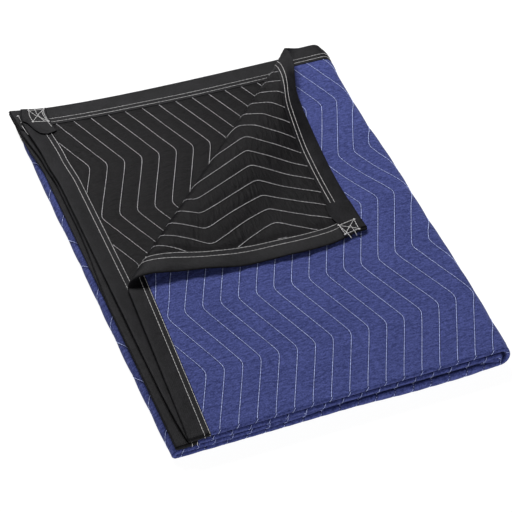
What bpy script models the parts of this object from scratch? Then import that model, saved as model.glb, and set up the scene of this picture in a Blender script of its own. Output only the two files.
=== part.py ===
"""Moving blanket: one quilted panel, bound on all four edges, folded to eight plies.

The panel is folded in half along its width, the fold to the front, and then across
its length into four two-ply units. One far corner of the top ply is turned back over
a diagonal roll. Millimetres throughout; the last step scales to metres.
"""
import math

import bmesh
import bpy
from mathutils import Matrix, Vector

# Cloth, laid flat
CLOTH_LENGTH = 1829.0
CLOTH_WIDTH = 1320.0
HALF_THICKNESS = 1.7
HALF_THICKNESS_EDGE = 0.5

# Binding tape and the lapped tape ends at the corners
SIDE_TAPE_WIDTH = 28.3
FAR_TAPE_WIDTH = 36.0
TAPE_THICKNESS = 0.35
TAB_START, LONG_TAB_END, SHORT_TAB_END = 3.0, 58.0, 35.4
TAB_REACH = 44.0
PRESSED_WIDTH = 66.0
TAB_THICKNESS = 0.3
SEWN_GAP = 0.35

# Folded packet
PITCH = 4.0
PACKET_WIDTH = 482.0
FRONT = 3.0
TOP_UNIT_LENGTH = 424.0

# Corner turned back: where the roll starts on the side edge, the way it runs, its radius
# at that end, how much it swells past the edge and then grows per millimetre
ROLL_START = (41.0, 281.0)
ROLL_ANGLE = math.radians(44.5)
ROLL_RADIUS = 2.6
ROLL_SWELL = 4.4
ROLL_GROWTH = 0.003
FLAP_SLIP = 0.19
FLAP_LENGTH = 385.0

PLY_RADIUS = PITCH / 2
HAIRPIN = math.pi * PLY_RADIUS
HALF_WIDTH = (CLOTH_WIDTH - HAIRPIN) / 2
HAIRPIN_Y = FRONT + PLY_RADIUS + HALF_THICKNESS
OUTER_RADIUS = 3 * PITCH
INNER_RADIUS = PITCH
OUTER_ARC = math.pi * OUTER_RADIUS
INNER_ARC = math.pi * INNER_RADIUS
MIDDLE_Z = HALF_THICKNESS + 3.5 * PITCH
UNIT_LENGTH = (CLOTH_LENGTH - TOP_UNIT_LENGTH - OUTER_ARC - 2 * INNER_ARC) / 3
SPANS = (TOP_UNIT_LENGTH, OUTER_ARC, UNIT_LENGTH, INNER_ARC, UNIT_LENGTH, INNER_ARC, UNIT_LENGTH)


def smooth(low, high, value):
    t = min(max((value - low) / (high - low), 0.0), 1.0)
    return t * t * (3 - 2 * t)


def top_side_edge(y, upper):
    """Where the bound side edge of a top-unit ply lies, y millimetres from the front."""
    run = max(y - HAIRPIN_Y, 0.0)
    if upper:
        return 25 + 0.055 * run
    return (19.5 + 5.5 * math.exp(-run / 30) - 4 * smooth(515, 545, y)
            - 7 * smooth(560, 655, y) + 5 * smooth(655, 678, y))


def last_side_edge(y, outer_ply):
    """Where the other side edge lies, at the end of the last fold."""
    if outer_ply:
        return 8.5 - 7.5 * smooth(540, 625, y) - 2 * smooth(625, 684, y)
    return (8.5 + 7.8 * smooth(250, 420, y) - 4 * smooth(524, 547, y)
            - 10.5 * smooth(555, 645, y) - 3 * smooth(645, 684, y))


def left_centre(y):
    """Centre of the left-hand U-turn, which wavers a little along its length."""
    return (9.0 - 1.0 * math.exp(-((y - 220) / 130) ** 2)
            - 1.0 * math.exp(-((y - 480) / 70) ** 2))


def right_centre(y):
    """Centre of the right-hand U-turn that wraps all the plies."""
    bulge = OUTER_RADIUS + PLY_RADIUS + HALF_THICKNESS
    drawn_in = 2 * smooth(150, 300, y) - 6 * smooth(570, 650, y) + 4 * smooth(645, 664, y)
    drawn_in += 1.3 * math.exp(-((y - 490) / 45) ** 2) - math.exp(-((y - 380) / 50) ** 2)
    return PACKET_WIDTH - 8 * math.exp(-y / 200) - drawn_in - bulge


def far_edge(x, s, outer_ply):
    """How far from the front a ply's far edge lies."""
    start, turned = SPANS[0], SPANS[0] + SPANS[1]
    base = 664.0 if outer_ply else 652.0 - 2 * smooth(150, 280, x)
    base += (658.0 - base) * smooth(start, turned, s)
    pull = 0.0 if outer_ply else 25.0
    if s > turned:
        pull = 10.0
    if s > CLOTH_LENGTH - UNIT_LENGTH:
        pull = 25.0
    return base + pull * math.exp(-max(x, 0.0) / 110)


def unit_path(s, y, outer_ply):
    """Middle of the two-ply unit at length s: place across, height, normal toward the outer ply."""
    right, left = right_centre(y), left_centre(y)
    inner = right - 3.5
    first = top_side_edge(y, outer_ply)
    last = last_side_edge(y, outer_ply)
    span, rest = 0, s
    while span < 6 and rest > SPANS[span]:
        rest -= SPANS[span]
        span += 1
    share = rest / SPANS[span]
    turn = math.pi * share
    sin, cos = math.sin(turn), math.cos(turn)
    if span == 0:
        return first + share * (right - first), MIDDLE_Z + OUTER_RADIUS, 0, 1
    if span == 1:
        return right + OUTER_RADIUS * sin, MIDDLE_Z + OUTER_RADIUS * cos, sin, cos
    if span == 2:
        return right + share * (left - right), MIDDLE_Z - OUTER_RADIUS, 0, -1
    if span == 3:
        return left - INNER_RADIUS * sin, MIDDLE_Z - 2 * PITCH - INNER_RADIUS * cos, -sin, -cos
    if span == 4:
        return left + share * (inner - left), MIDDLE_Z - INNER_RADIUS, 0, 1
    if span == 5:
        return inner + INNER_RADIUS * sin, MIDDLE_Z - INNER_RADIUS * cos, -sin, cos
    return inner + share * (last - inner), MIDDLE_Z + INNER_RADIUS, 0, -1


def lift(s, y):
    """How far the cloth stands up at its side edges, and the top unit at its front fold."""
    from_side = min(s, CLOTH_LENGTH - s)
    height = 2.1 if s < TOP_UNIT_LENGTH else 1.0
    side = height * math.exp(-(from_side / 14) ** 2) * smooth(8, 45, y)
    top = 1 - smooth(TOP_UNIT_LENGTH, TOP_UNIT_LENGTH + OUTER_ARC, s)
    raised = 1.3 * smooth(-5, 60, s) + 1.5 * smooth(150, 430, s)
    return side + raised * top * math.exp(-(y / 20) ** 2)


def roll_radius(b):
    started = max(b, 0.0)
    return ROLL_RADIUS + ROLL_SWELL * (1 - math.exp(-started / 12)) + ROLL_GROWTH * started


def turn_back(s, w, x, y, z):
    """The far corner of the top ply rolled over the diagonal and laid on the packet."""
    along = Vector((math.cos(ROLL_ANGLE), math.sin(ROLL_ANGLE)))
    across = Vector((-along.y, along.x))
    place = Vector((x - ROLL_START[0], y - ROLL_START[1]))
    b, a = place.dot(along), place.dot(across)
    radius = roll_radius(b)
    run = a + radius
    if run <= 0:
        return x, y, z
    arc = math.pi * radius
    turn = min(run / radius, math.pi)
    laid = smooth(0, 60, run - arc)
    hump = smooth(-5, 35, run - arc) * (1 - smooth(45, 115, run - arc))
    end = math.exp(-(w / 25) ** 2)
    if run < arc:
        out = radius * (math.sin(turn) - 1)
        up = radius * (1 - math.cos(turn))
    else:
        out = arc - radius - run
        settle = math.exp(-((run - arc) / (3.7 * radius + 6)) ** 2)
        up = PITCH + (2 * radius - PITCH) * settle
    out += 6 * end * math.sin(turn)
    up *= 1 - 0.25 * end * (1 - laid)
    up += 18.7 * math.exp(-w / 165) * (0.45 + 0.55 * smooth(0, 36, w)) * hump
    up += 3.5 * laid * (1 - math.exp(-s / 30)) * (1 - math.exp(-w / 30))
    b -= FLAP_SLIP * run * run / (run + 30)
    place = Vector(ROLL_START) + along * b + across * out
    share = min(max(s / FLAP_LENGTH, 0), 1)
    drawn = laid * (3 + 56 * share * (1 - share)) * math.exp(-w / 200) + 3 * hump * math.exp(-w / 20)
    tucked = 9 * smooth(0, 60, w) * (1 - smooth(400, 470, w)) * (1 - smooth(22, 60, s))
    slack = laid * (10 * smooth(0, 120, w) * (1 - smooth(200, 300, w)) * math.exp(-abs(s) / 60)
                    + tucked * (0.72 + 0.28 * smooth(0, 22, s)))
    return place.x - drawn, place.y - slack, z + up


def front_fold(s):
    """Where the fold along the front lies at length s, which differs a little between units."""
    below, within = s - sum(SPANS[:2]), s - sum(SPANS[:4])
    back = smooth(0.25, 0.75, within / UNIT_LENGTH) * (1 - smooth(0.92, 1, within / UNIT_LENGTH))
    forward = smooth(-10, 60, below) * (1 - smooth(110, 220, below))
    return HAIRPIN_Y + 12 * back - 3.5 * forward


def cloth(s, w):
    """Middle of the cloth at (s, w) of the flat panel, folded."""
    outer_ply = w < HALF_WIDTH + HAIRPIN / 2
    front = front_fold(s)
    if HALF_WIDTH <= w <= HALF_WIDTH + HAIRPIN:
        turn = (w - HALF_WIDTH) / PLY_RADIUS
        offset = PLY_RADIUS * math.cos(turn)
        y = front - PLY_RADIUS * math.sin(turn)
    else:
        offset = PLY_RADIUS if outer_ply else -PLY_RADIUS
        share = (HALF_WIDTH - w if outer_ply else w - HALF_WIDTH - HAIRPIN) / HALF_WIDTH
        x = unit_path(s, share * HALF_WIDTH, outer_ply)[0]
        y = front + share * (far_edge(x, s, outer_ply) - front)
    x, z, nx, nz = unit_path(s, y, outer_ply)
    point = x + nx * offset, y, z + nz * offset + lift(s, y)
    if s < TOP_UNIT_LENGTH and w < HALF_WIDTH:
        point = turn_back(s, w, *point)
    return Vector(point)


def normal(s, w):
    step = 0.05
    across = cloth(s + step, w) - cloth(s - step, w)
    along = cloth(s, w - step) - cloth(s, w + step)
    return across.cross(along).normalized()


def half_thickness(s, w):
    """The panel is pressed thin under the binding."""
    grown = min(smooth(SIDE_TAPE_WIDTH + 0.5, SIDE_TAPE_WIDTH + 10, min(s, CLOTH_LENGTH - s)),
                smooth(FAR_TAPE_WIDTH + 0.5, PRESSED_WIDTH, min(w, CLOTH_WIDTH - w)))
    return HALF_THICKNESS_EDGE + (HALF_THICKNESS - HALF_THICKNESS_EDGE) * grown


def steps(start, stop, count):
    return [start + (stop - start) * k / count for k in range(count + 1)]


def length_lines():
    """Lengths at which the mesh is cut: tape edges, tab edges, even spans and the U-turns."""
    lines, at = [], 0.0
    for span, count in zip(SPANS, (6, 10, 4, 8, 4, 8, 5)):
        lines += steps(at, at + span, count)
        at += span
    for d in (TAB_START, SIDE_TAPE_WIDTH, SIDE_TAPE_WIDTH + 2, SHORT_TAB_END, LONG_TAB_END):
        lines += [d, CLOTH_LENGTH - d]
    return sorted(set(round(v, 4) for v in lines))


def width_lines():
    lines = steps(0, HALF_WIDTH, 6) + steps(HALF_WIDTH, HALF_WIDTH + HAIRPIN, 6)
    lines += [CLOTH_WIDTH - v for v in steps(0, HALF_WIDTH, 6)]
    lines += [HALF_WIDTH - 25, HALF_WIDTH + HAIRPIN + 25]
    for d in (FAR_TAPE_WIDTH, TAB_REACH, PRESSED_WIDTH):
        lines += [d, CLOTH_WIDTH - d]
    return sorted(set(round(v, 4) for v in lines))


def roll_cuts():
    """Lines of the flat panel that follow the roll: through the roll's two ends at even turns."""
    along = Vector((math.cos(ROLL_ANGLE), math.sin(ROLL_ANGLE)))
    across = Vector((-along.y, along.x))
    cuts = []
    for turn in [math.pi * k / 7 for k in range(8)] + [4.3, 6.0, 8.5, 12.0]:
        ends = []
        for b in (30.0, 500.0):
            radius = roll_radius(b)
            spot = Vector(ROLL_START) + along * b + across * (radius * (turn - 1))
            y = spot.y
            edge = top_side_edge(y, True)
            s = (spot.x - edge) / (right_centre(y) - edge) * TOP_UNIT_LENGTH
            share = (y - HAIRPIN_Y) / (664.0 - HAIRPIN_Y)
            ends.append(Vector((s, HALF_WIDTH * (1 - share), 0)))
        cuts.append(ends)
    return cuts


def flat_panel():
    """Flat mesh of the panel, cut on the grid and along the roll, in triangles."""
    mesh = bmesh.new()
    corners = (0, 0), (CLOTH_LENGTH, 0), (CLOTH_LENGTH, CLOTH_WIDTH), (0, CLOTH_WIDTH)
    mesh.faces.new([mesh.verts.new((s, w, 0)) for s, w in corners])

    def cut(spot, direction, keep=lambda centre: True):
        faces = [f for f in mesh.faces if keep(f.calc_center_median())]
        parts = set(faces) | {e for f in faces for e in f.edges} | {v for f in faces for v in f.verts}
        bmesh.ops.bisect_plane(mesh, geom=list(parts), dist=1e-4, plane_co=spot, plane_no=direction)

    for s in length_lines()[1:-1]:
        cut((s, 0, 0), (1, 0, 0))
    for w in width_lines()[1:-1]:
        cut((0, w, 0), (0, 1, 0))
    for start, end in roll_cuts():
        run = end - start
        cut(start, (-run.y, run.x, 0),
            lambda centre: centre.x < TOP_UNIT_LENGTH and centre.y < HALF_WIDTH)
    bmesh.ops.triangulate(mesh, faces=mesh.faces[:])
    return mesh


def piece_of(flat, s_range, w_range):
    """Copy of the flat panel's triangles that lie inside the two ranges."""
    piece = flat.copy()
    outside = []
    for face in piece.faces:
        centre = face.calc_center_median()
        if not (s_range[0] < centre.x < s_range[1] and w_range[0] < centre.y < w_range[1]):
            outside.append(face)
    bmesh.ops.delete(piece, geom=outside, context="FACES")
    piece.verts.index_update()
    piece.verts.ensure_lookup_table()
    return piece


def link(mesh, first, second, edges):
    for a, b in edges:
        mesh.faces.new((first[a], first[b], second[b], second[a]))


def skin(target, patch, place, flip):
    """One copy of the patch, its vertices where place puts them."""
    verts = [target.verts.new(place(v.co.x, v.co.y)) for v in patch.verts]
    for face in patch.faces:
        corners = [verts[v.index] for v in face.verts]
        target.faces.new(corners[::-1] if flip else corners)
    return verts


def finish(name, mesh, colour, roughness):
    """Closed mesh to a named object in metres, with its own material."""
    bmesh.ops.triangulate(mesh, faces=mesh.faces[:])
    bmesh.ops.recalc_face_normals(mesh, faces=mesh.faces[:])
    if mesh.calc_volume(signed=True) < 0:
        bmesh.ops.reverse_faces(mesh, faces=mesh.faces[:])
    bmesh.ops.scale(mesh, vec=(0.001, 0.001, 0.001), verts=mesh.verts[:])
    data = bpy.data.meshes.new(name)
    mesh.to_mesh(data)
    mesh.free()
    part = bpy.data.objects.new(name, data)
    COLLECTION.objects.link(part)
    material = bpy.data.materials.new(name)
    material.use_nodes = True
    shader = material.node_tree.nodes["Principled BSDF"]
    shader.inputs["Base Color"].default_value = (*colour, 1)
    shader.inputs["Roughness"].default_value = roughness
    data.materials.append(material)
    return part


def border(patch):
    return [tuple(v.index for v in e.verts) for e in patch.edges if e.is_boundary]


def panel(flat):
    """The quilted panel as one closed solid."""
    patch = piece_of(flat, (0, CLOTH_LENGTH), (0, CLOTH_WIDTH))
    mesh = bmesh.new()
    top = skin(mesh, patch, lambda s, w: cloth(s, w) + normal(s, w) * half_thickness(s, w), False)
    low = skin(mesh, patch, lambda s, w: cloth(s, w) - normal(s, w) * half_thickness(s, w), True)
    link(mesh, top, low, border(patch))
    patch.free()
    return finish("quilted_panel", mesh, (0.06, 0.07, 0.24), 0.9)


def binding(name, flat, s_range, w_range, edge, clear, thickness):
    """Tape folded over one edge of the panel: two legs joined round the edge."""
    patch = piece_of(flat, s_range, w_range)
    axis, value, sign = edge

    def at(offset, reach):
        def place(s, w):
            spot = [s, w]
            if abs(spot[axis] - value) < 1e-3:
                spot[axis] = value + sign * reach
            return cloth(*spot) + normal(s, w) * offset
        return place

    inner, outer = clear, clear + thickness
    reach = clear - HALF_THICKNESS_EDGE
    mesh = bmesh.new()
    skins = [skin(mesh, patch, at(offset, wrap), flip) for offset, wrap, flip in (
        (outer, reach + thickness, False), (inner, reach, True),
        (-inner, reach, False), (-outer, reach + thickness, True))]
    at_edge = {v.index for v in patch.verts if abs(v.co[axis] - value) < 1e-3}
    for a, b in border(patch):
        if a in at_edge and b in at_edge:
            link(mesh, skins[0], skins[3], [(a, b)])
            link(mesh, skins[1], skins[2], [(a, b)])
        else:
            link(mesh, skins[0], skins[1], [(a, b)])
            link(mesh, skins[2], skins[3], [(a, b)])
    for corner in at_edge:
        ends = [e for e in patch.verts[corner].link_edges if e.is_boundary]
        if sum(e.other_vert(patch.verts[corner]).index in at_edge for e in ends) == 1:
            mesh.faces.new([skins[k][corner] for k in (0, 1, 2, 3)])
    patch.free()
    return finish(name, mesh, (0.02, 0.02, 0.022), 0.85)


for old in list(bpy.data.objects):
    bpy.data.objects.remove(old, do_unlink=True)
COLLECTION = bpy.data.collections.new("moving_blanket")
bpy.context.scene.collection.children.link(COLLECTION)

flat = flat_panel()
panel(flat)
tape_clear = HALF_THICKNESS_EDGE + SEWN_GAP
tab_clear = tape_clear + TAPE_THICKNESS + SEWN_GAP
far_s = (SIDE_TAPE_WIDTH + 2, CLOTH_LENGTH - SIDE_TAPE_WIDTH - 2)
for name, s_range, w_range, edge in (
        ("side_binding_top", (0, SIDE_TAPE_WIDTH), (0, CLOTH_WIDTH), (0, 0, -1)),
        ("side_binding_inside", (CLOTH_LENGTH - SIDE_TAPE_WIDTH, CLOTH_LENGTH), (0, CLOTH_WIDTH),
         (0, CLOTH_LENGTH, 1)),
        ("far_binding_outer", far_s, (0, FAR_TAPE_WIDTH), (1, 0, -1)),
        ("far_binding_inner", far_s, (CLOTH_WIDTH - FAR_TAPE_WIDTH, CLOTH_WIDTH),
         (1, CLOTH_WIDTH, 1))):
    binding(name, flat, s_range, w_range, edge, tape_clear, TAPE_THICKNESS)
for name, end, reach, first_edge, outer_ply in (
        ("corner_tab_flap", LONG_TAB_END, TAB_REACH, True, True),
        ("corner_tab_under", SHORT_TAB_END, TAB_REACH, True, False),
        ("corner_tab_inside_outer", LONG_TAB_END, TAB_REACH, False, True),
        ("corner_tab_inside_inner", SHORT_TAB_END, FAR_TAPE_WIDTH, False, False)):
    s_range = (TAB_START, end) if first_edge else (CLOTH_LENGTH - end, CLOTH_LENGTH - TAB_START)
    w_range = (0, reach) if outer_ply else (CLOTH_WIDTH - reach, CLOTH_WIDTH)
    edge = (1, 0, -1) if outer_ply else (1, CLOTH_WIDTH, 1)
    binding(name, flat, s_range, w_range, edge, tab_clear, TAB_THICKNESS)
flat.free()

spots = [v.co for part in COLLECTION.objects for v in part.data.vertices]
middle = Vector([(min(c[k] for c in spots) + max(c[k] for c in spots)) / 2 for k in (0, 1)] + [0])
for part in COLLECTION.objects:
    part.data.transform(Matrix.Translation(-middle))
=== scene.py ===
import math

import bpy
import numpy as np
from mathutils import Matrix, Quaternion, Vector


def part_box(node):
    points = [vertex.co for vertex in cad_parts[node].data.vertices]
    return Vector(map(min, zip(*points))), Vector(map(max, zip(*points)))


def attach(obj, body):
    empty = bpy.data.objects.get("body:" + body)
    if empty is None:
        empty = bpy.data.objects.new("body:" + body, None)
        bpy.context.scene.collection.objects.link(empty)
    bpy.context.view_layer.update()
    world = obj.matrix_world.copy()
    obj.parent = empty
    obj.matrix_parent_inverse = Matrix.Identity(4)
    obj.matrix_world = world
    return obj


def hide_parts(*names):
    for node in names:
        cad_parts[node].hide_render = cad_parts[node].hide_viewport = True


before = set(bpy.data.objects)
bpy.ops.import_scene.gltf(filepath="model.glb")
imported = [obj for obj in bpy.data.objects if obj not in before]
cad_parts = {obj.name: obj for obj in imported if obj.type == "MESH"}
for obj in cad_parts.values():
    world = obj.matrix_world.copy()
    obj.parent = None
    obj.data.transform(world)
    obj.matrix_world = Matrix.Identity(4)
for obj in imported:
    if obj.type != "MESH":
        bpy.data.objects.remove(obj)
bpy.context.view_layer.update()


# Quilted panel. Two woven faces, blue and black, over a thin batting, quilted together in
# zigzag rows and cut to 1320 by 1829 mm. It's folded in half along its width, the fold to
# the front, then in four along its length, and one far corner is turned back over a roll.
CLOTH_LENGTH, CLOTH_WIDTH = 1829.0, 1320.0
PLY_RADIUS, OUTER_RADIUS, INNER_RADIUS = 2.0, 12.0, 4.0
HAIRPIN = math.pi * PLY_RADIUS
HALF_WIDTH = (CLOTH_WIDTH - HAIRPIN) / 2
HAIRPIN_Y, MIDDLE_Z = 6.7, 15.7
TOP_UNIT = 424.0
UNIT = (CLOTH_LENGTH - TOP_UNIT - math.pi * (OUTER_RADIUS + 2 * INNER_RADIUS)) / 3
SPANS = np.array((TOP_UNIT, math.pi * OUTER_RADIUS, UNIT, math.pi * INNER_RADIUS, UNIT,
                  math.pi * INNER_RADIUS, UNIT))
SPAN_STARTS = np.concatenate(((0.0,), np.cumsum(SPANS)[:-1]))
ROLL_START, ROLL_ANGLE = (41.0, 281.0), math.radians(44.5)
ROLL_ALONG = np.array((math.cos(ROLL_ANGLE), math.sin(ROLL_ANGLE)))
ROLL_RADIUS, ROLL_SWELL, ROLL_GROWTH, FLAP_SLIP = 2.6, 4.4, 0.003, 0.19
FLAP_LENGTH = 385.0
PANEL_LOW, PANEL_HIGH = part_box("quilted_panel")
PACKET_ORIGIN = np.array((PANEL_HIGH.x * 1000 - 483.068, PANEL_LOW.y * 1000 + 0.497, 0.8))


def smooth(low, high, value):
    """Ease from 0 at low to 1 at high."""
    t = np.clip((value - low) / (high - low), 0, 1)
    return t * t * (3 - 2 * t)


def quilt_origin(y, upper):
    """Line that a top-unit ply's quilting rows are laid out from, y millimetres from the front."""
    run = np.maximum(y - HAIRPIN_Y, 0)
    return np.where(upper, 25 + 0.05 * run, 19 + 6 * np.exp(-run / 25) - 6 * smooth(500, 675, y))


def top_side_edge(y, upper):
    """Where the bound side edge of a top-unit ply lies: it wanders off the quilting's line."""
    above = 25 + 0.055 * np.maximum(y - HAIRPIN_Y, 0)
    below = (19.5 + 5.5 * np.exp(-np.maximum(y - HAIRPIN_Y, 0) / 30) - 4 * smooth(500, 560, y)
             - 7 * smooth(560, 655, y) + 5 * smooth(655, 678, y))
    return np.where(upper, above, below)


def last_side_edge(y, outer):
    """Where the other side edge lies, at the end of the last fold."""
    below = 8.5 - 7.5 * smooth(540, 625, y) - 2 * smooth(625, 684, y)
    above = (8.5 + 7.8 * smooth(250, 420, y) - 4 * smooth(510, 560, y) - 10.5 * smooth(555, 645, y)
             - 3 * smooth(645, 684, y))
    return np.where(outer, below, above)


def left_centre(y):
    """Centre of the left-hand turn."""
    return 9.0 - 1.0 * np.exp(-((y - 220) / 130) ** 2) - 1.0 * np.exp(-((y - 480) / 70) ** 2)


def right_centre(y):
    """Centre of the right-hand turn that wraps all the plies."""
    drawn_in = 2 * smooth(150, 300, y) - 6 * smooth(570, 650, y) + 4 * smooth(645, 664, y)
    drawn_in = drawn_in + 1.3 * np.exp(-((y - 490) / 45) ** 2) - np.exp(-((y - 380) / 50) ** 2)
    return 482 - 8 * np.exp(-y / 200) - drawn_in - 15.7


def unit_path(s, y, outer):
    """Middle of the two-ply unit at length s: span, place across, height and normal."""
    right = right_centre(y)
    inner = right - 3.5
    first = top_side_edge(y, outer)
    last = last_side_edge(y, outer)
    left = left_centre(y)
    span = np.clip(np.searchsorted(SPAN_STARTS, s, side="left") - 1, 0, 6)
    share = (s - SPAN_STARTS[span]) / SPANS[span]
    sin, cos = np.sin(math.pi * share), np.cos(math.pi * share)
    which = [span == k for k in range(7)]
    cut = 4 * smooth(645, 664, y)
    x = np.select(which, [
        first + share * (right + cut - first) - cut * share ** 16, right + OUTER_RADIUS * sin,
        right + share * (left - right), left - INNER_RADIUS * sin,
        left + share * (inner - left), inner + INNER_RADIUS * sin,
        inner + share * (last - inner)])
    z = np.select(which, [
        MIDDLE_Z + OUTER_RADIUS + 0 * s, MIDDLE_Z + OUTER_RADIUS * cos,
        MIDDLE_Z - OUTER_RADIUS + 0 * s, MIDDLE_Z - 2 * INNER_RADIUS - INNER_RADIUS * cos,
        MIDDLE_Z - INNER_RADIUS + 0 * s, MIDDLE_Z - INNER_RADIUS * cos,
        MIDDLE_Z + INNER_RADIUS + 0 * s])
    nx = np.select(which, [0 * s, sin, 0 * s, -sin, 0 * s, -sin, 0 * s])
    nz = np.select(which, [1 + 0 * s, cos, -1 + 0 * s, -cos, 1 + 0 * s, cos, -1 + 0 * s])
    return x, z, nx, nz


def far_edge(x, s, outer):
    """How far from the front a ply's far edge lies."""
    base = np.where(outer, 664.0, 652.0 - 2 * smooth(150, 280, x))
    base = base + (658 - base) * smooth(SPAN_STARTS[1], SPAN_STARTS[2], s)
    pull = np.select([s > CLOTH_LENGTH - UNIT, s > SPAN_STARTS[2], outer], [25.0, 10.0, 0.0], 25.0)
    return base + pull * np.exp(-np.maximum(x, 0) / 110)


def before_roll(s, w):
    """Packet as it lies before its corner is turned back: place, and distance from the front."""
    outer = w < CLOTH_WIDTH / 2
    share = np.where(outer, HALF_WIDTH - w, w - HALF_WIDTH - HAIRPIN) / HALF_WIDTH
    x = unit_path(s, share * HALF_WIDTH, outer)[0]
    front = (HAIRPIN_Y + 12 * smooth(SPAN_STARTS[4] + 0.25 * UNIT, SPAN_STARTS[4] + 0.75 * UNIT, s)
             * (1 - smooth(SPAN_STARTS[4] + 0.92 * UNIT, SPAN_STARTS[5], s)))
    below = s - SPAN_STARTS[2]
    front = front - 3.5 * smooth(-10, 60, below) * (1 - smooth(110, 220, below))
    y = front + share * (far_edge(x, s, outer) - front)
    offset = np.where(outer, PLY_RADIUS, -PLY_RADIUS)
    turn = (w - HALF_WIDTH) / PLY_RADIUS
    turning = share < 0
    y = np.where(turning, front - PLY_RADIUS * np.sin(turn), y)
    offset = np.where(turning, PLY_RADIUS * np.cos(turn), offset)
    x, z, nx, nz = unit_path(s, y, outer)
    from_side = np.minimum(np.abs(s), np.abs(CLOTH_LENGTH - s))
    lift = np.where(s < TOP_UNIT, 2.1 + 0.4 * np.sin(y / 31 + 2 * outer), 1.0)
    z = z + lift * np.exp(-(from_side / 14) ** 2) * smooth(8, 45, y)
    raised = 1.3 * smooth(-5, 60, s) + 1.5 * smooth(150, 430, s)
    raised = raised * (1 - smooth(TOP_UNIT, SPAN_STARTS[2], s))
    z = z + raised * np.exp(-(y / 20) ** 2)
    inner_share = np.where(turning, (1 - np.cos(turn)) / 2, np.where(outer, 0, 1))
    puffed = 7.5 * (smooth(SPAN_STARTS[2], SPAN_STARTS[2] + 40, s)
                    * (1 - smooth(SPAN_STARTS[2] + 0.25 * UNIT, SPAN_STARTS[2] + 0.75 * UNIT, s)))
    z = z + puffed * inner_share * np.exp(-(y / 13) ** 2)
    return np.stack((x + nx * offset, y, z + nz * offset), axis=-1)


def roll_run(s, w, place):
    """Distance past the start of the roll, and the roll's radius there."""
    across = np.array((-ROLL_ALONG[1], ROLL_ALONG[0]))
    offset = place[..., :2] - ROLL_START
    b, a = offset @ ROLL_ALONG, offset @ across
    started = np.maximum(b, 0)
    radius = ROLL_RADIUS + ROLL_SWELL * (1 - np.exp(-started / 12)) + ROLL_GROWTH * started
    turned = (s < TOP_UNIT) & (w < CLOTH_WIDTH / 2)
    return np.where(turned, a + radius, -1e3), radius, b


def tucked(s, w):
    """How far the flap's bound edge has slipped towards the front."""
    return 9 * smooth(0, 60, w) * (1 - smooth(400, 470, w)) * (1 - smooth(22, 60, s))


def fold(s, w):
    """Middle of the cloth at (s, w) of the flat panel, folded, in packet millimetres."""
    s, w = np.broadcast_arrays(np.asarray(s, float), np.asarray(w, float))
    place = before_roll(s, w)
    run, radius, b = roll_run(s, w, place)
    across = np.array((-ROLL_ALONG[1], ROLL_ALONG[0]))
    arc = math.pi * radius
    bent = run < arc
    turn = np.clip(run / radius, 0, math.pi)
    out = np.where(bent, radius * (np.sin(turn) - 1), arc - radius - run)
    settle = np.exp(-((run - arc) / (3.7 * radius + 6)) ** 2)
    up = np.where(bent, radius * (1 - np.cos(turn)), 4 + (2 * radius - 4) * settle)
    slid = b - FLAP_SLIP * run * run / (np.abs(run) + 30)
    end = np.exp(-(w / 25) ** 2)
    laid = smooth(0, 60, run - arc)
    out = out + 6 * end * np.sin(turn)
    up = up * (1 - 0.25 * end * (1 - laid))
    spot = ROLL_START + slid[..., None] * ROLL_ALONG + out[..., None] * across
    s_share = np.clip(s / FLAP_LENGTH, 0, 1)
    hump = smooth(-5, 35, run - arc) * (1 - smooth(45, 115, run - arc))
    drawn = (3 + 56 * s_share * (1 - s_share)) * np.exp(-w / 200) * laid
    drawn = drawn + 3 * np.exp(-w / 20) * hump
    slack = laid * (10 * smooth(0, 120, w) * (1 - smooth(200, 300, w)) * np.exp(-np.abs(s) / 60)
                    + tucked(s, w) * (0.72 + 0.28 * smooth(0, 22, s)))
    spot = spot - np.stack((drawn, slack), axis=-1)
    air = (1 - np.exp(-np.maximum(s, 0) / 30)) * (1 - np.exp(-np.maximum(w, 0) / 30))
    up = up + 18.7 * np.exp(-w / 165) * (0.45 + 0.55 * smooth(0, 36, w)) * hump
    up = up + laid * (3.5 * air + 0.8 * np.sin(w / 19 + 1) * np.exp(-np.maximum(s, 0) / 25)
                      + 0.7 * np.sin(s / 23) * np.exp(-np.maximum(w, 0) / 25))
    rolled = np.concatenate((spot, (place[..., 2] + up)[..., None]), axis=-1)
    return np.where((run > 0)[..., None], rolled, place)


def lay(s, w, out):
    """Points that stand out millimetres off the middle of the cloth, in metres on the object."""
    s, w, out = np.broadcast_arrays(*(np.asarray(v, float) for v in (s, w, out)))
    step = 0.05
    across = fold(s + step, w) - fold(s - step, w)
    along = fold(s, w - step) - fold(s, w + step)
    normal = np.cross(across, along)
    normal /= np.linalg.norm(normal, axis=-1, keepdims=True)
    return (fold(s, w) + normal * out[..., None] + PACKET_ORIGIN) / 1000


# Quilting rows, in the flat panel: how far a row swings, and how the cloth stands between them
ROW_PITCH, ROW_START, ZIG = 25.4, 6.4, 20.4
KINKS = np.array((-89.0, 20, 129, 238, 346, 452, 561, 664, 767, 871, 975, 1078, 1182, 1286, 1390))
SIDE_TAPE, END_TAPE = 28.3, 36.0
KINK_NUMBERS, KINK_PITCH, KINK_SHARPNESS = np.arange(-1, 14), 105.0, 0.988


def zigzag(w):
    """How far a row swings along the cloth at width w: straight runs, corners barely rounded."""
    wave = -KINK_SHARPNESS * np.cos(math.pi * np.interp(w, KINKS, KINK_NUMBERS))
    return ZIG * np.arcsin(wave) / math.asin(KINK_SHARPNESS)


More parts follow.
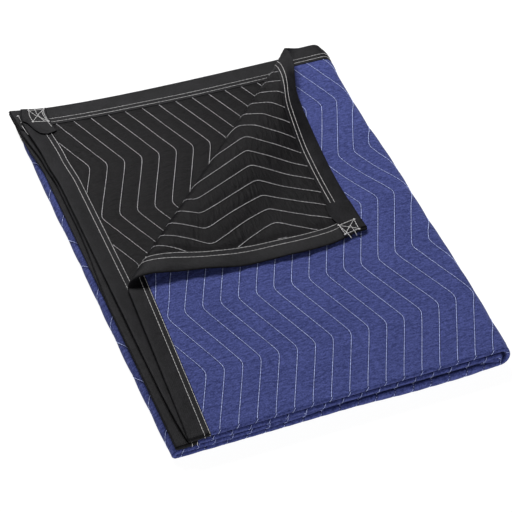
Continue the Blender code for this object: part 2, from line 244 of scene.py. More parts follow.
def row_place(s, w):
    """Place in the quilting pattern, in rows: a whole number on a stitched row."""
    place = before_roll(s, w)
    y = place[..., 1]
    outer = w < CLOTH_WIDTH / 2
    edge = top_side_edge(y, outer)
    true = s * (right_centre(y) - edge) / TOP_UNIT
    beyond = right_centre(y) - edge + s - TOP_UNIT
    lean = np.where(outer, 0.02, 0.0) * (y - 158) + edge - quilt_origin(y, outer)
    # Right of the top ply's middle the rows are dragged: a little one way on the far half,
    # more the other way nearer the front, and not at all by the front fold.
    drag = np.where(outer, smooth(310, 430, s), 0) * (1 - smooth(540, 640, w))
    near = smooth(255, 350, w)
    distance = np.where(s < TOP_UNIT, true, beyond) + lean + drag * (1.5 - 6.0 * near)
    slip = 0.93 * tucked(s, w) + 5.5 * np.exp(-((w - 165) / 60) ** 2) * (1 - smooth(50, 110, s))
    distance = distance - np.where(outer, slip, 0)
    start = ROW_START - 2.8 * smooth(700, 1000, w) + 5.5 * smooth(1180, 1290, w)
    start = start + 12 * np.exp(-((s - SPAN_STARTS[3]) / 45) ** 2)
    far = np.where(outer, 7 * smooth(360, 440, s) - 3.5 * smooth(310, 360, s), 0)
    return (distance - zigzag(w + 13 * drag * near + far * (1 - near)) - start) / ROW_PITCH


def row_length(row, w):
    """The length s at which a quilting row crosses the width w."""
    s = ROW_START + ROW_PITCH * row + zigzag(w)
    for _ in range(5):
        s = s + (row - row_place(s, w)) * ROW_PITCH
    return s


def stand(s, w, blue_side):
    """Height of a face of the panel over its middle: low on the rows, pressed under the tape."""
    run = roll_run(s, w, before_roll(s, w))[0]
    turned = smooth(0, 12, run)
    outer = w < CLOTH_WIDTH / 2
    hairpin = 1 - smooth(8, 14, np.abs(w - CLOTH_WIDTH / 2))
    arcs = (smooth(TOP_UNIT - 6, TOP_UNIT + 4, s)
            * (1 - smooth(SPAN_STARTS[4], SPAN_STARTS[4] + 20, s)))
    if blue_side:
        shown = np.where(outer, np.where(s < TOP_UNIT, 1 - turned, arcs), 0)
        resting = (s > SPAN_STARTS[2]) & (s < SPAN_STARTS[3]) & outer
    else:
        shown = np.where(s < TOP_UNIT, np.where(outer, turned, 1.0), 0)
        shown = shown * (1 - hairpin)
        resting = False
    phase = np.abs(np.sin(math.pi * row_place(s, w)))
    puff = phase ** 0.75
    crest = np.where(resting, 1.7, 1.75 + 0.5 * shown)
    low = 1.45 - 0.45 * shown - 0.25 * resting
    height = (low + (crest - low) * puff) * (1 - 0.3 * hairpin)
    pressed = (smooth(SIDE_TAPE - 3, SIDE_TAPE + 9, np.minimum(s, CLOTH_LENGTH - s))
               * smooth(END_TAPE - 3, END_TAPE + 9, np.minimum(w, CLOTH_WIDTH - w)))
    return 0.5 + (height - 0.5) * pressed


def between(start, stop, step):
    """Even steps of about the given size, both ends included."""
    return np.linspace(start, stop, max(int(round((stop - start) / step)), 1) + 1)


side_lines = np.array((0, 8, 16, SIDE_TAPE - 3, SIDE_TAPE + 1, SIDE_TAPE + 5, SIDE_TAPE + 10))
end_lines = np.array((0, 15, END_TAPE - 3, END_TAPE + 1, END_TAPE + 5, END_TAPE + 10))
kink_lines = np.interp(np.arange(0, 260) / 20, KINK_NUMBERS, KINKS)
row_steps = np.array((0.0, 0.11, 0.33, 0.67, 0.89))
top_rows = (ROW_START + ROW_PITCH * (np.arange(0, 18)[:, None] + row_steps)).ravel()
length_lines = np.concatenate((
    side_lines, top_rows[(top_rows > 4) & (top_rows < TOP_UNIT - 3)],
    TOP_UNIT + between(0, SPANS[1], 3.2),
    SPAN_STARTS[2] + between(0, UNIT, ROW_PITCH / 3),
    SPAN_STARTS[3] + between(0, SPANS[3], 1.6),
    SPAN_STARTS[4] + np.array((6, 14, 30, 70)), SPAN_STARTS[4] + between(110, UNIT - 12, 55),
    SPAN_STARTS[5] + between(0, SPANS[5], 1.6),
    SPAN_STARTS[6] + between(12, UNIT - 90, 50), CLOTH_LENGTH - between(40, 85, 9),
    CLOTH_LENGTH - side_lines))
length_lines = np.unique(np.round(length_lines, 3))
length_lines = length_lines[np.concatenate(((True,), np.diff(length_lines) > 0.7))]
width_lines = np.concatenate((
    end_lines, kink_lines[(kink_lines > 48) & (kink_lines < HALF_WIDTH - 14)],
    HALF_WIDTH - np.array((12, 6, 3)), HALF_WIDTH + between(0, HAIRPIN, HAIRPIN / 8),
    HALF_WIDTH + HAIRPIN + np.array((3, 7, 13)), HALF_WIDTH + HAIRPIN + between(26, 260, 13),
    kink_lines[(kink_lines > 930) & (kink_lines < CLOTH_WIDTH - 48)], CLOTH_WIDTH - end_lines))
width_lines = np.unique(np.round(width_lines, 3))
width_lines = width_lines[np.concatenate(((True,), np.diff(width_lines) > 0.6))]

s_grid, w_grid = np.meshgrid(length_lines, width_lines, indexing="ij")
swing = smooth(30, 95, s_grid) * (1 - smooth(TOP_UNIT - 80, TOP_UNIT - 8, s_grid))
s_grid = s_grid + zigzag(w_grid) * swing


def grid_faces(rows, columns, start=0):
    """Quads of a grid of points, all wound the same way."""
    index = np.arange(rows * columns).reshape(rows, columns) + start
    return np.stack((index[:-1, :-1], index[:-1, 1:], index[1:, 1:], index[1:, :-1]),
                    axis=-1).reshape(-1, 4)


def new_piece(name, points, faces, flat=None, rows=None):
    """Mesh object from points and quads, with the cloth's own maps where they are given."""
    mesh = bpy.data.meshes.new(name)
    mesh.from_pydata([tuple(p) for p in points], [], [tuple(int(i) for i in f) for f in faces])
    mesh.validate()
    corners = np.empty(len(mesh.loops), np.int32)
    mesh.loops.foreach_get("vertex_index", corners)
    for layer, values in (("flat", flat), ("rows", rows)):
        if values is not None:
            uv = mesh.uv_layers.new(name=layer)
            uv.data.foreach_set("uv", values[corners].astype(np.float32).ravel())
    mesh.shade_smooth()
    piece = bpy.data.objects.new(name, mesh)
    bpy.context.scene.collection.objects.link(piece)
    return piece


count_s, count_w = s_grid.shape
total = count_s * count_w
blue_points = lay(s_grid, w_grid, stand(s_grid, w_grid, True)).reshape(-1, 3)
black_points = lay(s_grid, w_grid, -stand(s_grid, w_grid, False)).reshape(-1, 3)
blue_faces = grid_faces(count_s, count_w)[:, ::-1]
black_faces = grid_faces(count_s, count_w, total)
rim = np.arange(total).reshape(count_s, count_w)
rim = np.concatenate((rim[0, :-1], rim[:-1, -1], rim[-1, :0:-1], rim[:0:-1, 0]))
rim_next = np.roll(rim, -1)
rim_faces = np.stack((rim, rim_next, rim_next + total, rim + total), axis=-1)
flat_map = np.tile(np.stack((s_grid, w_grid), axis=-1).reshape(-1, 2) / 1000, (2, 1))
row_map = np.stack((row_place(s_grid, w_grid), w_grid / KINK_PITCH), axis=-1).reshape(-1, 2)
panel = new_piece("quilted_cloth", np.concatenate((blue_points, black_points)),
                  np.concatenate((blue_faces, black_faces, rim_faces)), flat_map,
                  np.tile(row_map, (2, 1)))


def on_panel(s, w, blue_side, rise=0.12):
    """Points of the finished panel's face at (s, w), raised a little, in metres."""
    points = (blue_points if blue_side else black_points).reshape(count_s, count_w, 3)
    column = np.clip(np.searchsorted(width_lines, w, side="right") - 1, 0, count_w - 2)
    part = (w - width_lines[column]) / (width_lines[column + 1] - width_lines[column])
    lengths = s_grid[:, column] * (1 - part) + s_grid[:, column + 1] * part
    row = np.clip((lengths <= s).sum(axis=0) - 1, 0, count_s - 2)
    here = np.arange(len(s))
    share = (s - lengths[row, here]) / (lengths[row + 1, here] - lengths[row, here])
    part, share = part[:, None], share[:, None]
    found = ((points[row, column] * (1 - share) + points[row + 1, column] * share) * (1 - part)
             + (points[row, column + 1] * (1 - share) + points[row + 1, column + 1] * share) * part)
    sign = 1 if blue_side else -1
    return found + (lay(s, w, sign * (1 + rise)) - lay(s, w, sign))


class Nodes:
    """Short way to write a material's or a tree's nodes."""

    def __init__(self, tree):
        self.tree = tree

    def add(self, kind, inputs=(), **settings):
        node = self.tree.nodes.new(kind)
        for key, value in settings.items():
            setattr(node, key, value)
        for key, value in dict(inputs).items():
            if isinstance(value, bpy.types.NodeSocket):
                self.tree.links.new(value, node.inputs[key])
            else:
                node.inputs[key].default_value = value
        return node

    def math(self, operation, a, b=0.0, c=0.0):
        return self.add("ShaderNodeMath", {0: a, 1: b, 2: c}, operation=operation).outputs[0]

    def ramp(self, value, low, high, start=0.0, stop=1.0, kind="SMOOTHSTEP"):
        return self.add("ShaderNodeMapRange", {"Value": value, "From Min": low, "From Max": high,
                                               "To Min": start, "To Max": stop},
                        interpolation_type=kind).outputs["Result"]

    def mix(self, factor, a, b):
        node = self.add("ShaderNodeMix", {0: factor}, data_type="RGBA")
        for socket, value in ((node.inputs[6], a), (node.inputs[7], b)):
            if isinstance(value, bpy.types.NodeSocket):
                self.tree.links.new(value, socket)
            else:
                socket.default_value = (*value, 1)
        return node.outputs[2]


def material(name, roughness, sheen, sheen_roughness, sheen_tint, specular=0.25):
    """New principled material for cloth: its nodes, shader and the constants on its sockets."""
    made = bpy.data.materials.new(name)
    made.use_nodes = True
    nodes = Nodes(made.node_tree)
    shader = made.node_tree.nodes["Principled BSDF"]
    shader.inputs["Roughness"].default_value = roughness
    shader.inputs["Specular IOR Level"].default_value = specular
    shader.inputs["Sheen Weight"].default_value = sheen
    shader.inputs["Sheen Roughness"].default_value = sheen_roughness
    shader.inputs["Sheen Tint"].default_value = (*sheen_tint, 1)
    return made, nodes, shader


def quilted_material(name, dark, light, row_shade, sheen, tint, puckers, rough, specular):
    """Woven face of the panel: plain weave, slubs, puckers across the rows, sunken stitch lines,
    and painted shade beside each row.
    """
    made, nodes, shader = material(name, rough, sheen, 0.45, tint, specular)
    flat = nodes.add("ShaderNodeUVMap", uv_map="flat").outputs["UV"]
    rows = nodes.add("ShaderNodeUVMap", uv_map="rows").outputs["UV"]
    split = nodes.add("ShaderNodeSeparateXYZ", {"Vector": rows})
    row = split.outputs["X"]
    near = nodes.math("ABSOLUTE", nodes.math("SUBTRACT", nodes.math("FRACT", nodes.math(
        "ADD", row, 0.5)), 0.5))
    dip = nodes.ramp(near, 0.0, 0.09, 1.0, 0.0)
    # Painted shade: this mask is full on each stitched row and fades out a little way off it.
    shadow = nodes.ramp(near, 0.015, 0.085, 1.0, 0.0)
    cloud = nodes.add("ShaderNodeTexNoise", {"Vector": flat, "Scale": 16.0, "Detail": 3.0,
                                             "Roughness": 0.55}).outputs["Fac"]
    slub_place = nodes.add("ShaderNodeMapping", {"Vector": flat, "Scale": (150.0, 340.0, 1.0)})
    slub = nodes.add("ShaderNodeTexNoise", {"Vector": slub_place.outputs["Vector"], "Scale": 1.0,
                                            "Detail": 3.0, "Roughness": 0.7}).outputs["Fac"]
    fine = nodes.add("ShaderNodeTexNoise", {"Vector": flat, "Scale": 480.0, "Detail": 2.0,
                                            "Roughness": 0.6}).outputs["Fac"]
    bent = nodes.add("ShaderNodeTexNoise", {"Vector": flat, "Scale": 22.0, "Detail": 1.0})
    bent = nodes.add("ShaderNodeVectorMath", {0: bent.outputs["Color"], 1: (0.6, 0.30, 0.0)},
                     operation="MULTIPLY").outputs["Vector"]
    bent = nodes.add("ShaderNodeVectorMath", {0: rows, 1: bent}, operation="ADD").outputs["Vector"]
    squeezed = nodes.add("ShaderNodeMapping", {"Vector": bent, "Scale": (0.85, 12.5, 1.0)})
    crease = nodes.add("ShaderNodeTexNoise", {"Vector": squeezed.outputs["Vector"], "Scale": 1.0,
                                              "Detail": 1.5, "Roughness": 0.5}).outputs["Fac"]
    warp = nodes.add("ShaderNodeTexWave", {"Vector": flat, "Scale": 180.0, "Distortion": 0.6,
                                           "Detail": 1.0}, bands_direction="X").outputs["Fac"]
    weft = nodes.add("ShaderNodeTexWave", {"Vector": flat, "Scale": 180.0, "Distortion": 0.6,
                                           "Detail": 1.0}, bands_direction="Y").outputs["Fac"]
    weave = nodes.math("MULTIPLY", warp, weft)
    tone = nodes.math("ADD", nodes.math("MULTIPLY", cloud, 0.1), nodes.math("MULTIPLY", fine, 0.4))
    tone = nodes.math("ADD", tone, nodes.math("MULTIPLY", slub, 0.5))
    tone = nodes.math("ADD", tone, nodes.math("MULTIPLY", nodes.math("SUBTRACT", weave, 0.25), 0.1))
    colour = nodes.mix(nodes.ramp(tone, 0.42, 0.58, kind="LINEAR"), dark, light)
    # Painted shade: beside each stitched row the colour is pulled towards the dark row shade
    # colour.
    colour = nodes.mix(nodes.math("MULTIPLY", shadow, 0.7), colour, row_shade)
    nodes.tree.links.new(colour, shader.inputs["Base Color"])
    height = nodes.math("ADD", nodes.math("MULTIPLY", crease, puckers),
                        nodes.math("MULTIPLY", dip, -0.3))
    broad = nodes.add("ShaderNodeBump", {"Strength": 0.9, "Distance": 0.0022, "Height": height})
    small = nodes.math("ADD", nodes.math("MULTIPLY", weave, 0.4), nodes.math("MULTIPLY", slub, 0.8))
    bump = nodes.add("ShaderNodeBump", {"Strength": 0.6, "Distance": 0.0012, "Height": small,
                                        "Normal": broad.outputs["Normal"]})
    nodes.tree.links.new(bump.outputs["Normal"], shader.inputs["Normal"])
    return made


# Each face's third colour is the dark colour of its painted shade beside the stitched rows.
panel.data.materials.append(quilted_material(
    "blue_face", (0.016, 0.024, 0.115), (0.062, 0.079, 0.265), (0.008, 0.011, 0.060), 0.08,
    (0.6, 0.65, 1.0), 1.35, 0.85, 0.25))
panel.data.materials.append(quilted_material(
    "black_face", (0.0004, 0.0004, 0.0005), (0.0070, 0.0060, 0.0074), (0.0003, 0.0003, 0.0004),
    0.004, (1.0, 1.0, 1.0), 0.7, 0.5, 0.07))
side_of = np.zeros(len(panel.data.polygons), np.int32)
side_of[len(blue_faces):] = 1
panel.data.polygons.foreach_set("material_index", side_of)
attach(panel, "root")
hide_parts("quilted_panel")


# Binding. Black woven tape folded over each raw edge of the panel and held by two rows of
# lock stitch. The side tapes run round the front fold; the far tapes end at the corners.
def black_tape(name, rib_axis):
    """Ribbed black tape; the ribs follow one axis of the flat panel."""
    dark, light = (0.0005, 0.0005, 0.0008), (0.0105, 0.0099, 0.0122)
    rib_scale = 260.0
    made, nodes, shader = material(name, 0.55, 0.006, 0.4, (1.0, 1.0, 1.0), 0.09)
    flat = nodes.add("ShaderNodeUVMap", uv_map="flat").outputs["UV"]
    rib = nodes.add("ShaderNodeTexWave", {"Vector": flat, "Scale": rib_scale, "Distortion": 0.8,
                                          "Detail": 1.0, "Detail Scale": 2.0},
                    bands_direction=rib_axis).outputs["Fac"]
    cross = "Y" if rib_axis == "X" else "X"
    yarn = nodes.add("ShaderNodeTexWave", {"Vector": flat, "Scale": rib_scale * 0.5},
                     bands_direction=cross).outputs["Fac"]
    cloud = nodes.add("ShaderNodeTexNoise", {"Vector": flat, "Scale": 60.0, "Detail": 4.0,
                                             "Roughness": 0.6}).outputs["Fac"]
    fine = nodes.add("ShaderNodeTexNoise", {"Vector": flat, "Scale": 400.0, "Detail": 3.0,
                                            "Roughness": 0.7}).outputs["Fac"]
    tone = nodes.math("ADD", nodes.math("MULTIPLY", rib, 0.1), nodes.math("MULTIPLY", cloud, 0.35))
    tone = nodes.math("ADD", tone, nodes.math("MULTIPLY", fine, 0.55))
    colour = nodes.mix(nodes.ramp(tone, 0.38, 0.62, kind="LINEAR"), dark, light)
    nodes.tree.links.new(colour, shader.inputs["Base Color"])
    height = nodes.math("ADD", rib, nodes.math("MULTIPLY", yarn, 0.5))
    weave = nodes.add("ShaderNodeBump", {"Strength": 0.4, "Distance": 0.0003, "Height": height})
    pucker = nodes.add("ShaderNodeBump", {"Strength": 0.4, "Distance": 0.002, "Height": cloud,
                                          "Normal": weave.outputs["Normal"]})
    nodes.tree.links.new(pucker.outputs["Normal"], shader.inputs["Normal"])
    return made


SIDE_ROWS, END_ROWS = (20.0, 27.0), (23.5, 30.5)
TAPE_CLEAR, TAPE_WALL, TAPE_SWELL = 0.85, 0.4, 0.25


def tape_height(inward, width, offset, bulge, rows):
    """Height of a tape's face over the middle of the cloth, inward millimetres from the edge."""
    swelling = bulge * np.sin(np.clip((width - inward) / width, 0, 1) * math.pi)
    sunk = 0.16 * sum(np.exp(-((inward - row) / 0.8) ** 2) for row in rows)
    return offset + swelling - sunk - 0.12 * (inward > width - 0.5)


def tape_ripple(along):
    """Slight unevenness along a sewn tape, in millimetres."""
    return 0.10 * np.sin(along / 5.3) * np.sin(along / 17 + 1)


def folded_tape(name, node, along, edge, reach, clear, wall, rows=(), swell=TAPE_SWELL,
                lift=0.0):
    """Tape folded over one edge of the cloth. edge is the flat axis that it closes, the edge's
    place there and the way out of the cloth; reach is how far in it comes at each station."""
    axis, value, sign = edge
    reach = np.broadcast_to(np.asarray(reach, float), along.shape)
    width = reach.max()
    inward = np.array((width, width - 1.0, *rows, 0.86 * width, 0.7 * width, 0.5 * width,
                       0.3 * width, 4, 1.5, 0.3))
    inward = np.sort(inward)[::-1]
    turns = np.linspace(0, math.pi, 7)[1:-1]

    def ring(offset, bulge):
        heights = tape_height(inward, width, offset, bulge, rows)
        heights = heights + lift * np.exp(-(width - inward) / 7)
        inside = np.concatenate((inward, -offset * np.sin(turns), inward[::-1]))
        out = np.concatenate((heights, offset * np.cos(turns), -heights[::-1]))
        return inside, out

    outer = ring(clear + wall, swell)
    inner = ring(clear, swell * 0.6)
    inside = np.concatenate((outer[0], inner[0][::-1]))
    out = np.concatenate((outer[1], inner[1][::-1]))
    walls = np.repeat((wall, 0.0), len(inside) // 2)
    ripple = tape_ripple(along)[:, None] * np.sign(out) * (np.abs(out) > clear)
    inside_grid = np.where(inside > 0, inside * reach[:, None] / width, inside)
    across_grid = value - sign * inside_grid
    along_grid = np.broadcast_to(along[:, None], across_grid.shape)
    pair = (across_grid, along_grid) if axis == 0 else (along_grid, across_grid)
    cloth_face = np.where(out > 0, stand(*pair, True), stand(*pair, False)) + 0.2 + walls
    out = np.where((inside > 0) & (np.abs(out) < cloth_face), np.sign(out) * cloth_face, out)
    points = lay(*pair, out + ripple).reshape(-1, 3)
    rings, around = along_grid.shape
    index = np.arange(rings * around).reshape(rings, around)
    onward = np.roll(index, -1, axis=1)
    faces = np.stack((index[:-1], index[1:], onward[1:], onward[:-1]), axis=-1).reshape(-1, 4)
    half = around // 2
    caps = []
    for end, turn in ((index[0], 1), (index[-1], -1)):
        caps += [np.array((end[k], end[k + 1], end[around - 2 - k], end[around - 1 - k]))[::turn]
                 for k in range(half - 1)]
    faces = np.concatenate((faces, np.array(caps)))
    flat = np.stack(pair, axis=-1).reshape(-1, 2) / 1000
    spread = np.cumsum(np.abs(np.diff(inside, prepend=inside[0]))) / 1000
    flat[:, axis] = np.tile(spread, rings)
    piece = new_piece(name, points, faces, flat)
    if signed_volume(piece) < 0:
        piece.data.flip_normals()
    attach(piece, "root")
    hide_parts(node)
    return piece


def signed_volume(piece):
    """Volume inside a closed mesh, negative when its faces point inward."""
    mesh = piece.data
    mesh.calc_loop_triangles()
    spots = np.empty(3 * len(mesh.vertices))
    mesh.vertices.foreach_get("co", spots)
    corners = np.empty(3 * len(mesh.loop_triangles), np.int32)
    mesh.loop_triangles.foreach_get("vertices", corners)
    a, b, c = np.moveaxis(spots.reshape(-1, 3)[corners].reshape(-1, 3, 3), 1, 0)
    return np.einsum("ij,ij->", a, np.cross(b, c)) / 6


side_tape = black_tape("tape_along_sides", "Y")
end_tape = black_tape("tape_along_ends", "X")
end_stations = np.unique(np.round(np.concatenate((
    between(30, TOP_UNIT, 5), TOP_UNIT + between(0, SPANS[1], 3.2),
    SPAN_STARTS[2] + between(0, UNIT, 8), SPAN_STARTS[3] + between(0, SPANS[3], 1.6),
    SPAN_STARTS[4] + between(0, UNIT, 12), SPAN_STARTS[5] + between(0, SPANS[5], 1.6),
    SPAN_STARTS[6] + between(0, UNIT - 30, 10))), 3))
side_top = folded_tape("side_tape_top", "side_binding_top", width_lines, (0, 0, -1),
                       SIDE_TAPE, TAPE_CLEAR, TAPE_WALL, SIDE_ROWS)
side_inside = folded_tape("side_tape_inside", "side_binding_inside", width_lines,
                          (0, CLOTH_LENGTH, 1), SIDE_TAPE, TAPE_CLEAR, TAPE_WALL, SIDE_ROWS)
end_outer = folded_tape("far_tape_outer", "far_binding_outer", end_stations, (1, 0, -1),
                        END_TAPE, TAPE_CLEAR, TAPE_WALL, END_ROWS)
end_inner = folded_tape("far_tape_inner", "far_binding_inner", end_stations,
                        (1, CLOTH_WIDTH, 1), END_TAPE, TAPE_CLEAR, TAPE_WALL, END_ROWS)
for piece, tape in ((side_top, side_tape), (side_inside, side_tape), (end_outer, end_tape),
                    (end_inner, end_tape)):
    piece.data.materials.append(tape)


# Corner tabs. At each corner the end of the far tape is lapped over the side tape, its free
# edge rounded off, and tacked down through the cloth with a small box and cross of stitches.
tab_top = 3 + between(0, 55, 2.5)
tab_under = 0.4 + between(0, 35, 1.75)
long_reach = np.interp(tab_top, (3, 27, 40, 55, 58), (40, 39, 44, 42, 37))
round_reach = np.interp(tab_under, (0, 4, 6, 8, 12, 21, 26, 35.4),
                        (26, 30, 37, 46, 54, 57, 55.5, 52.5))
small_reach = np.interp(tab_under, (0, 4, 10, 18, 26, 35.4), (41, 44, 46, 46, 43, 40))
for name, node, along, edge, reach in (
        ("corner_tab_of_flap", "corner_tab_flap", tab_top, (1, 0, -1), long_reach),
        ("corner_tab_beneath", "corner_tab_under", tab_under, (1, CLOTH_WIDTH, 1), round_reach),
        ("corner_tab_inner_a", "corner_tab_inside_outer", CLOTH_LENGTH - tab_top[::-1], (1, 0, -1),
         long_reach[::-1]),
        ("corner_tab_inner_b", "corner_tab_inside_inner", CLOTH_LENGTH - tab_under[::-1],
         (1, CLOTH_WIDTH, 1), small_reach[::-1])):
    tab = folded_tape(name, node, along, edge, reach, clear=1.6, wall=0.45, swell=0.15, lift=1.3)
    tab.data.materials.append(end_tape)


# Thread. Pale polyester lock stitch: single rows through the quilting, double rows on the
# tape and tacks at the corners. Each stitch is a short length sunk into the cloth at both ends.
def stitch_tree():
    """Geometry nodes that set one solid stitch at each step along a line."""
    tree = bpy.data.node_groups.new("stitches_along_rows", "GeometryNodeTree")
    face = tree.interface
    face.new_socket("Geometry", in_out="INPUT", socket_type="NodeSocketGeometry")
    for label, value in (("Pitch", 0.0058), ("Stitch Length", 0.0047), ("Thickness", 0.0009)):
        socket = face.new_socket(label, in_out="INPUT", socket_type="NodeSocketFloat")
        socket.default_value = value
    face.new_socket("Thread", in_out="INPUT", socket_type="NodeSocketMaterial")
    face.new_socket("Geometry", in_out="OUTPUT", socket_type="NodeSocketGeometry")
    nodes = Nodes(tree)
    given = nodes.add("NodeGroupInput").outputs
    curve = nodes.add("GeometryNodeMeshToCurve", {"Mesh": given["Geometry"]}).outputs["Curve"]
    curve = nodes.add("GeometryNodeResampleCurve", {"Curve": curve, "Length": given["Pitch"]},
                      mode="LENGTH").outputs["Curve"]
    tangent = nodes.add("GeometryNodeInputTangent").outputs["Tangent"]
    turn = nodes.add("FunctionNodeAlignRotationToVector", {"Vector": tangent}, axis="X")
    stick = nodes.add("GeometryNodeMeshCylinder", {"Vertices": 6, "Side Segments": 2, "Radius": 1.0,
                                                   "Depth": 2.0}).outputs["Mesh"]
    spot = nodes.add("GeometryNodeInputPosition").outputs["Position"]
    split = nodes.add("ShaderNodeSeparateXYZ", {"Vector": spot})
    waist = nodes.math("SUBTRACT", 1.0, nodes.math("MULTIPLY", 0.35, nodes.math(
        "POWER", nodes.math("ABSOLUTE", split.outputs["Z"]), 6.0)))
    shaped = nodes.add("ShaderNodeCombineXYZ", {
        "X": split.outputs["Z"], "Y": nodes.math("MULTIPLY", split.outputs["X"], waist),
        "Z": nodes.math("MULTIPLY", split.outputs["Y"], waist)}).outputs["Vector"]
    stick = nodes.add("GeometryNodeSetPosition", {"Geometry": stick, "Position": shaped})
    half_length = nodes.math("MULTIPLY", given["Stitch Length"], 0.5)
    half_thick = nodes.math("MULTIPLY", given["Thickness"], 0.5)
    size = nodes.add("ShaderNodeCombineXYZ", {"X": half_length, "Y": half_thick,
                                              "Z": half_thick}).outputs["Vector"]
    vary = nodes.add("FunctionNodeRandomValue", {"Seed": 7}, data_type="FLOAT_VECTOR")
    vary.inputs[0].default_value = (0.94, 0.85, 0.85)
    vary.inputs[1].default_value = (1.06, 1.15, 1.15)
    size = nodes.add("ShaderNodeVectorMath", {0: size, 1: vary.outputs[0]},
                     operation="MULTIPLY").outputs["Vector"]
    placed = nodes.add("GeometryNodeInstanceOnPoints", {
        "Points": curve, "Instance": stick.outputs["Geometry"],
        "Rotation": turn.outputs["Rotation"], "Scale": size}).outputs["Instances"]
    real = nodes.add("GeometryNodeRealizeInstances", {"Geometry": placed}).outputs["Geometry"]
    real = nodes.add("GeometryNodeSetShadeSmooth", {"Geometry": real}).outputs["Geometry"]
    real = nodes.add("GeometryNodeSetMaterial", {"Geometry": real, "Material": given["Thread"]})
    nodes.add("NodeGroupOutput", {"Geometry": real.outputs["Geometry"]})
    return tree


stitches = stitch_tree()


def thread_material(name, colour, worn):
    """Spun thread in two near shades."""
    made, nodes, shader = material(name, 0.6, 0.2, 0.3, (1.0, 1.0, 1.0))
    place = nodes.add("ShaderNodeTexCoord").outputs["Object"]
    cloud = nodes.add("ShaderNodeTexNoise", {"Vector": place, "Scale": 300.0,
                                             "Detail": 2.0}).outputs["Fac"]
    strand = nodes.add("ShaderNodeTexNoise", {"Vector": place, "Scale": 2500.0}).outputs["Fac"]
    nodes.tree.links.new(nodes.mix(nodes.ramp(cloud, 0.3, 0.7), colour, worn),
                         shader.inputs["Base Color"])
    bump = nodes.add("ShaderNodeBump", {"Strength": 0.3, "Distance": 0.0002, "Height": strand})
    nodes.tree.links.new(bump.outputs["Normal"], shader.inputs["Normal"])
    return made


def sewn(name, lines, thread, nodes_replaced, pitch=0.0058, length=0.0061, thickness=0.00088):
    """Stitches along the lines, each an array of points in metres."""
    points = np.concatenate(lines)
    starts = np.cumsum([0] + [len(line) for line in lines])
    edges = np.concatenate([np.stack((np.arange(a, b - 1), np.arange(a + 1, b)), axis=-1)
                            for a, b in zip(starts[:-1], starts[1:])])
    mesh = bpy.data.meshes.new(name)
    mesh.from_pydata([tuple(p) for p in points], [tuple(int(i) for i in e) for e in edges], [])
    piece = bpy.data.objects.new(name, mesh)
    bpy.context.scene.collection.objects.link(piece)
    modifier = piece.modifiers.new("stitches", "NODES")
    modifier.node_group = stitches
    wanted = {"Pitch": pitch, "Stitch Length": length, "Thickness": thickness, "Thread": thread}
    for item in stitches.interface.items_tree:
        if item.in_out == "INPUT" and item.name in wanted:
            modifier[item.identifier] = wanted[item.name]
    graph = bpy.context.evaluated_depsgraph_get()
    made = bpy.data.meshes.new_from_object(piece.evaluated_get(graph))
    piece.modifiers.clear()
    piece.data = made
    made.name = name
    bpy.data.meshes.remove(mesh)
    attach(piece, "root")
    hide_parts(*nodes_replaced)
    return piece


def runs_of(points, keep):
    """The stretches of a line of points where keep is true."""
    marks = np.flatnonzero(np.diff(np.concatenate(((0,), keep.astype(int), (0,)))))
    return [points[a:b] for a, b in zip(marks[::2], marks[1::2]) if b - a > 2]


QUILTING_ROWS = range(-1, 75)
blue_lines, black_lines = [], []
w_line = between(END_TAPE + 0.5, CLOTH_WIDTH - END_TAPE - 0.5, 2.5)
for row in QUILTING_ROWS:
    s_line = row_length(row, w_line)
    inside = (s_line > SIDE_TAPE + 0.3) & (s_line < CLOTH_LENGTH - SIDE_TAPE - 0.3)
    if not inside.any():
        continue
    run, radius, _ = roll_run(s_line, w_line, before_roll(s_line, w_line))
    outer = w_line < CLOTH_WIDTH / 2
    front = np.abs(w_line - CLOTH_WIDTH / 2) < 14
    wrapped = (s_line > TOP_UNIT - 5) & (s_line < SPAN_STARTS[4] + 25)
    on_top = (s_line < TOP_UNIT) & (run < 1.5 * radius)
    blue = inside & ((outer & on_top) | (outer & wrapped) | front)
    blue_lines += runs_of(on_panel(s_line, w_line, True), blue)
    flap = outer & (s_line < TOP_UNIT) & (run > 0)
    open_run = roll_run(s_line, np.full_like(w_line, 1.0), before_roll(s_line, w_line))[0]
    beneath = (~outer) & (s_line < TOP_UNIT) & (open_run > -40)
    black = inside & (flap | beneath)
    black_lines += runs_of(on_panel(s_line, w_line, False), black)

pale = thread_material("pale_thread", (0.52, 0.60, 0.98), (0.38, 0.44, 0.85))
grey = thread_material("grey_thread", (0.64, 0.63, 0.65), (0.48, 0.47, 0.49))
beige = thread_material("tape_thread", (0.66, 0.65, 0.65), (0.50, 0.49, 0.49))
quilting = [sewn("quilting_on_blue", blue_lines, pale, ("quilted_panel",)),
            sewn("quilting_on_black", black_lines, grey, ("quilted_panel",))]

SIDE_ROW_INSET, LONG_TAB_END, SHORT_TAB_END = 8, 57, 34
tape_lines = []
for width, rows, closed in ((SIDE_TAPE, SIDE_ROWS, CLOTH_LENGTH),
                            (END_TAPE, END_ROWS, CLOTH_WIDTH)):
    for inset in rows:
        out = tape_height(inset, width, TAPE_CLEAR + TAPE_WALL, TAPE_SWELL, rows) + 0.15
        for edge in (inset, closed - inset):
            for side in (1, -1):
                if closed == CLOTH_LENGTH:
                    line = between(SIDE_ROW_INSET, CLOTH_WIDTH - SIDE_ROW_INSET, 2.5)
                    tape_lines.append(lay(np.full_like(line, edge), line, side * out))
                else:
                    first = LONG_TAB_END if edge == inset else SHORT_TAB_END
                    line = between(first, CLOTH_LENGTH - LONG_TAB_END, 2.0)
                    tape_lines.append(lay(line, np.full_like(line, edge), side * out))
binding_rows = sewn("binding_rows", tape_lines, beige, ("side_binding_top", "far_binding_outer"),
                    thickness=0.0008)


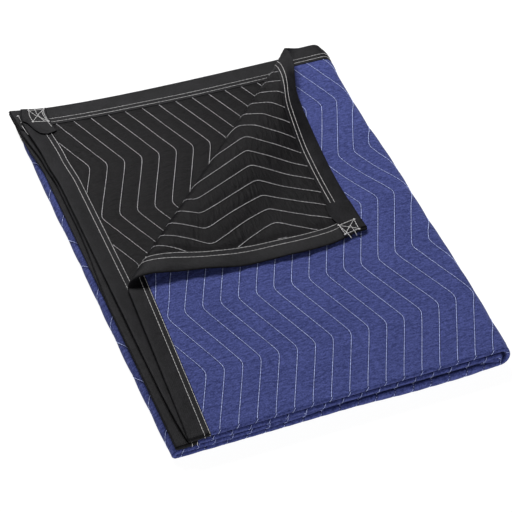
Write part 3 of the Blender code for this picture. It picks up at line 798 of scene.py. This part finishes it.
def tacked(corners, tails, reach=40, side=-1):
    """Box and cross of thick stitches through a corner tab, with cut tails."""
    corners = np.array(corners)
    order = ((0, 1), (1, 2), (2, 3), (3, 0), (0, 2), (1, 3))
    lines = [np.linspace(corners[a], corners[b], 14) for a, b in order]
    lines += [np.linspace(a, b, 8) for a, b in tails]
    found = []
    for line in lines:
        s, w = line.T
        inset = np.minimum(w, CLOTH_WIDTH - w)
        height = np.maximum(stand(s, w, side > 0) + 0.2, 1.6) + 0.9
        height = height + 1.3 * np.exp(-np.abs(inset - reach) / 7)
        found.append(lay(s, w, side * height))
    return found


tack_lines = tacked(((21.8, 38.4), (20.6, 10.8), (1.5, 13), (2.3, 37.2)),
                    (((21.8, 38.4), (-5.6, 31)), ((11.5, 21.7), (-5.4, 20.7))))
tack_lines += tacked(((10.9, 1317.5), (31.7, 1317.5), (32.4, 1290.8), (12.6, 1292.8)),
                     (((29.5, 1312), (32.2, 1280)), ((20, 1317), (27, 1293))), 60)
for w_edge, inward, side in ((0, 1, 1), (CLOTH_WIDTH, -1, 1)):
    corners = [(CLOTH_LENGTH - s, w_edge + inward * w)
               for s, w in ((7.4, 13), (30, 13), (30, 30), (6.6, 27))]
    tail = [(CLOTH_LENGTH - s, w_edge + inward * w) for s, w in ((4.2, 37), (5.4, 53))]
    tack_lines += tacked(corners, (tail,), 43, side)
tacks = sewn("corner_tacks", tack_lines, beige, ("corner_tab_flap", "corner_tab_under"),
             pitch=0.0042, length=0.0046, thickness=0.0011)


# Where it lies. A plain pale floor in a studio, lit by one large soft light from behind and
# above, and by a weaker one low in front.
floor_mesh = bpy.data.meshes.new("floor")
floor_mesh.from_pydata([(-6, -6, 0), (6, -6, 0), (6, 6, 0), (-6, 6, 0)], [], [(0, 1, 2, 3)])
floor = bpy.data.objects.new("floor", floor_mesh)
bpy.context.scene.collection.objects.link(floor)
floor_paint = bpy.data.materials.new("floor_paint")
floor_paint.use_nodes = True
floor_shader = floor_paint.node_tree.nodes["Principled BSDF"]
floor_shader.inputs["Base Color"].default_value = (0.12, 0.12, 0.12, 1)
floor_shader.inputs["Emission Color"].default_value = (1, 1, 1, 1)
floor_shader.inputs["Emission Strength"].default_value = 0.95
floor_shader.inputs["Roughness"].default_value = 0.9
floor_mesh.materials.append(floor_paint)

world = bpy.data.worlds.new("studio")
bpy.context.scene.world = world
world.use_nodes = True
world.node_tree.nodes["Background"].inputs["Color"].default_value = (1, 1, 1, 1)
world.node_tree.nodes["Background"].inputs["Strength"].default_value = 0.12
bpy.context.scene.view_settings.view_transform = "Standard"


def soft_light(name, place, power, size):
    """Rectangular light at a place, turned to the middle of the floor."""
    lamp = bpy.data.lights.new(name, "AREA")
    lamp.shape, lamp.energy = "RECTANGLE", power
    lamp.size, lamp.size_y = size
    made = bpy.data.objects.new(name, lamp)
    made.location = place
    bpy.context.scene.collection.objects.link(made)
    aim = -made.location.normalized()
    made.rotation_mode = "QUATERNION"
    made.rotation_quaternion = aim.to_track_quat("-Z", "Y")


soft_light("large_softbox", (-0.02, 1.95, 2.1), power=106, size=(1.6, 0.8))
soft_light("front_fill", (0.5, -2.6, 1.0), power=32, size=(2.5, 2.0))

camera_data = bpy.data.cameras.new("camera")
camera_data.sensor_width, camera_data.lens = 36, 154.3
camera = bpy.data.objects.new("camera", camera_data)
bpy.context.scene.collection.objects.link(camera)
turn, rise, roll = math.radians(-22.883), math.radians(45), math.radians(1.8)
distance = 2.972
back = Vector((math.sin(turn) * math.cos(rise), -math.cos(turn) * math.cos(rise), math.sin(rise)))
aim = Vector((0.22227, 0.27681, 0.0314)) + Vector(PACKET_ORIGIN) / 1000
camera.location = aim + back * distance
camera.rotation_mode = "QUATERNION"
level = (-back).to_track_quat("-Z", "Y")
camera.rotation_quaternion = level @ Quaternion((0, 0, 1), roll)
bpy.context.scene.camera = camera
